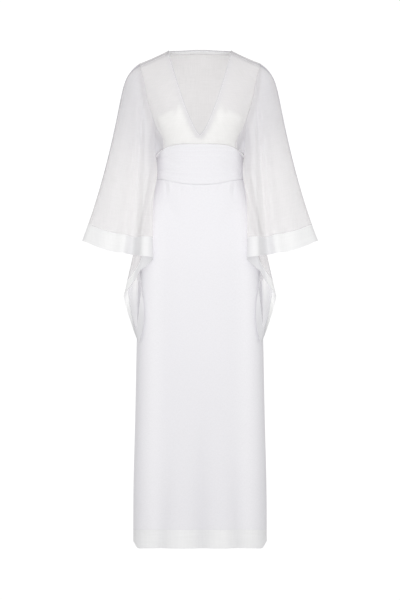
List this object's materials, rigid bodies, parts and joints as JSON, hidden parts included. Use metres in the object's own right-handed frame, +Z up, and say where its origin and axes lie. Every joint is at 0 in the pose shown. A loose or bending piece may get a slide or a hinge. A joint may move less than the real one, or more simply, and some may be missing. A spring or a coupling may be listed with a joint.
{
  "type": "maxi dress",
  "caption": "Long white evening dress with a deep V neck, sheer wing sleeves that fall in folds, a tucked waistband and a full length straight skirt",
  "frame": {"origin": "midway between the two neck ends of the shoulders, at their height", "axes": "+Z up, -Y the front of the dress, +X the wearer's left"},
  "size_m": [0.7076, 0.2234, 1.495],
  "materials": {
    "voile": "matt off-white voile, slightly sheer",
    "crepe": "matt white crepe, opaque",
    "satin": "white satin-backed hem bands and facings, soft sheen"
  },
  "bodies": {
    "root": {"bodice_front": "voile", "bodice_back": "voile", "bust_lining": "crepe", "neck_facing_left": "satin", "neck_facing_right": "satin", "neck_facing_back": "satin", "waistband_front": "crepe", "waistband_back": "crepe", "skirt_front": "crepe", "skirt_back": "crepe", "skirt_hem_front": "satin", "skirt_hem_back": "satin", "sleeve_front_left": "voile", "sleeve_front_right": "voile", "sleeve_back_left": "voile", "sleeve_back_right": "voile", "sleeve_band_front_left": "satin", "sleeve_band_front_right": "satin", "sleeve_band_back_left": "satin", "sleeve_band_back_right": "satin"}
  },
  "joints": []
}
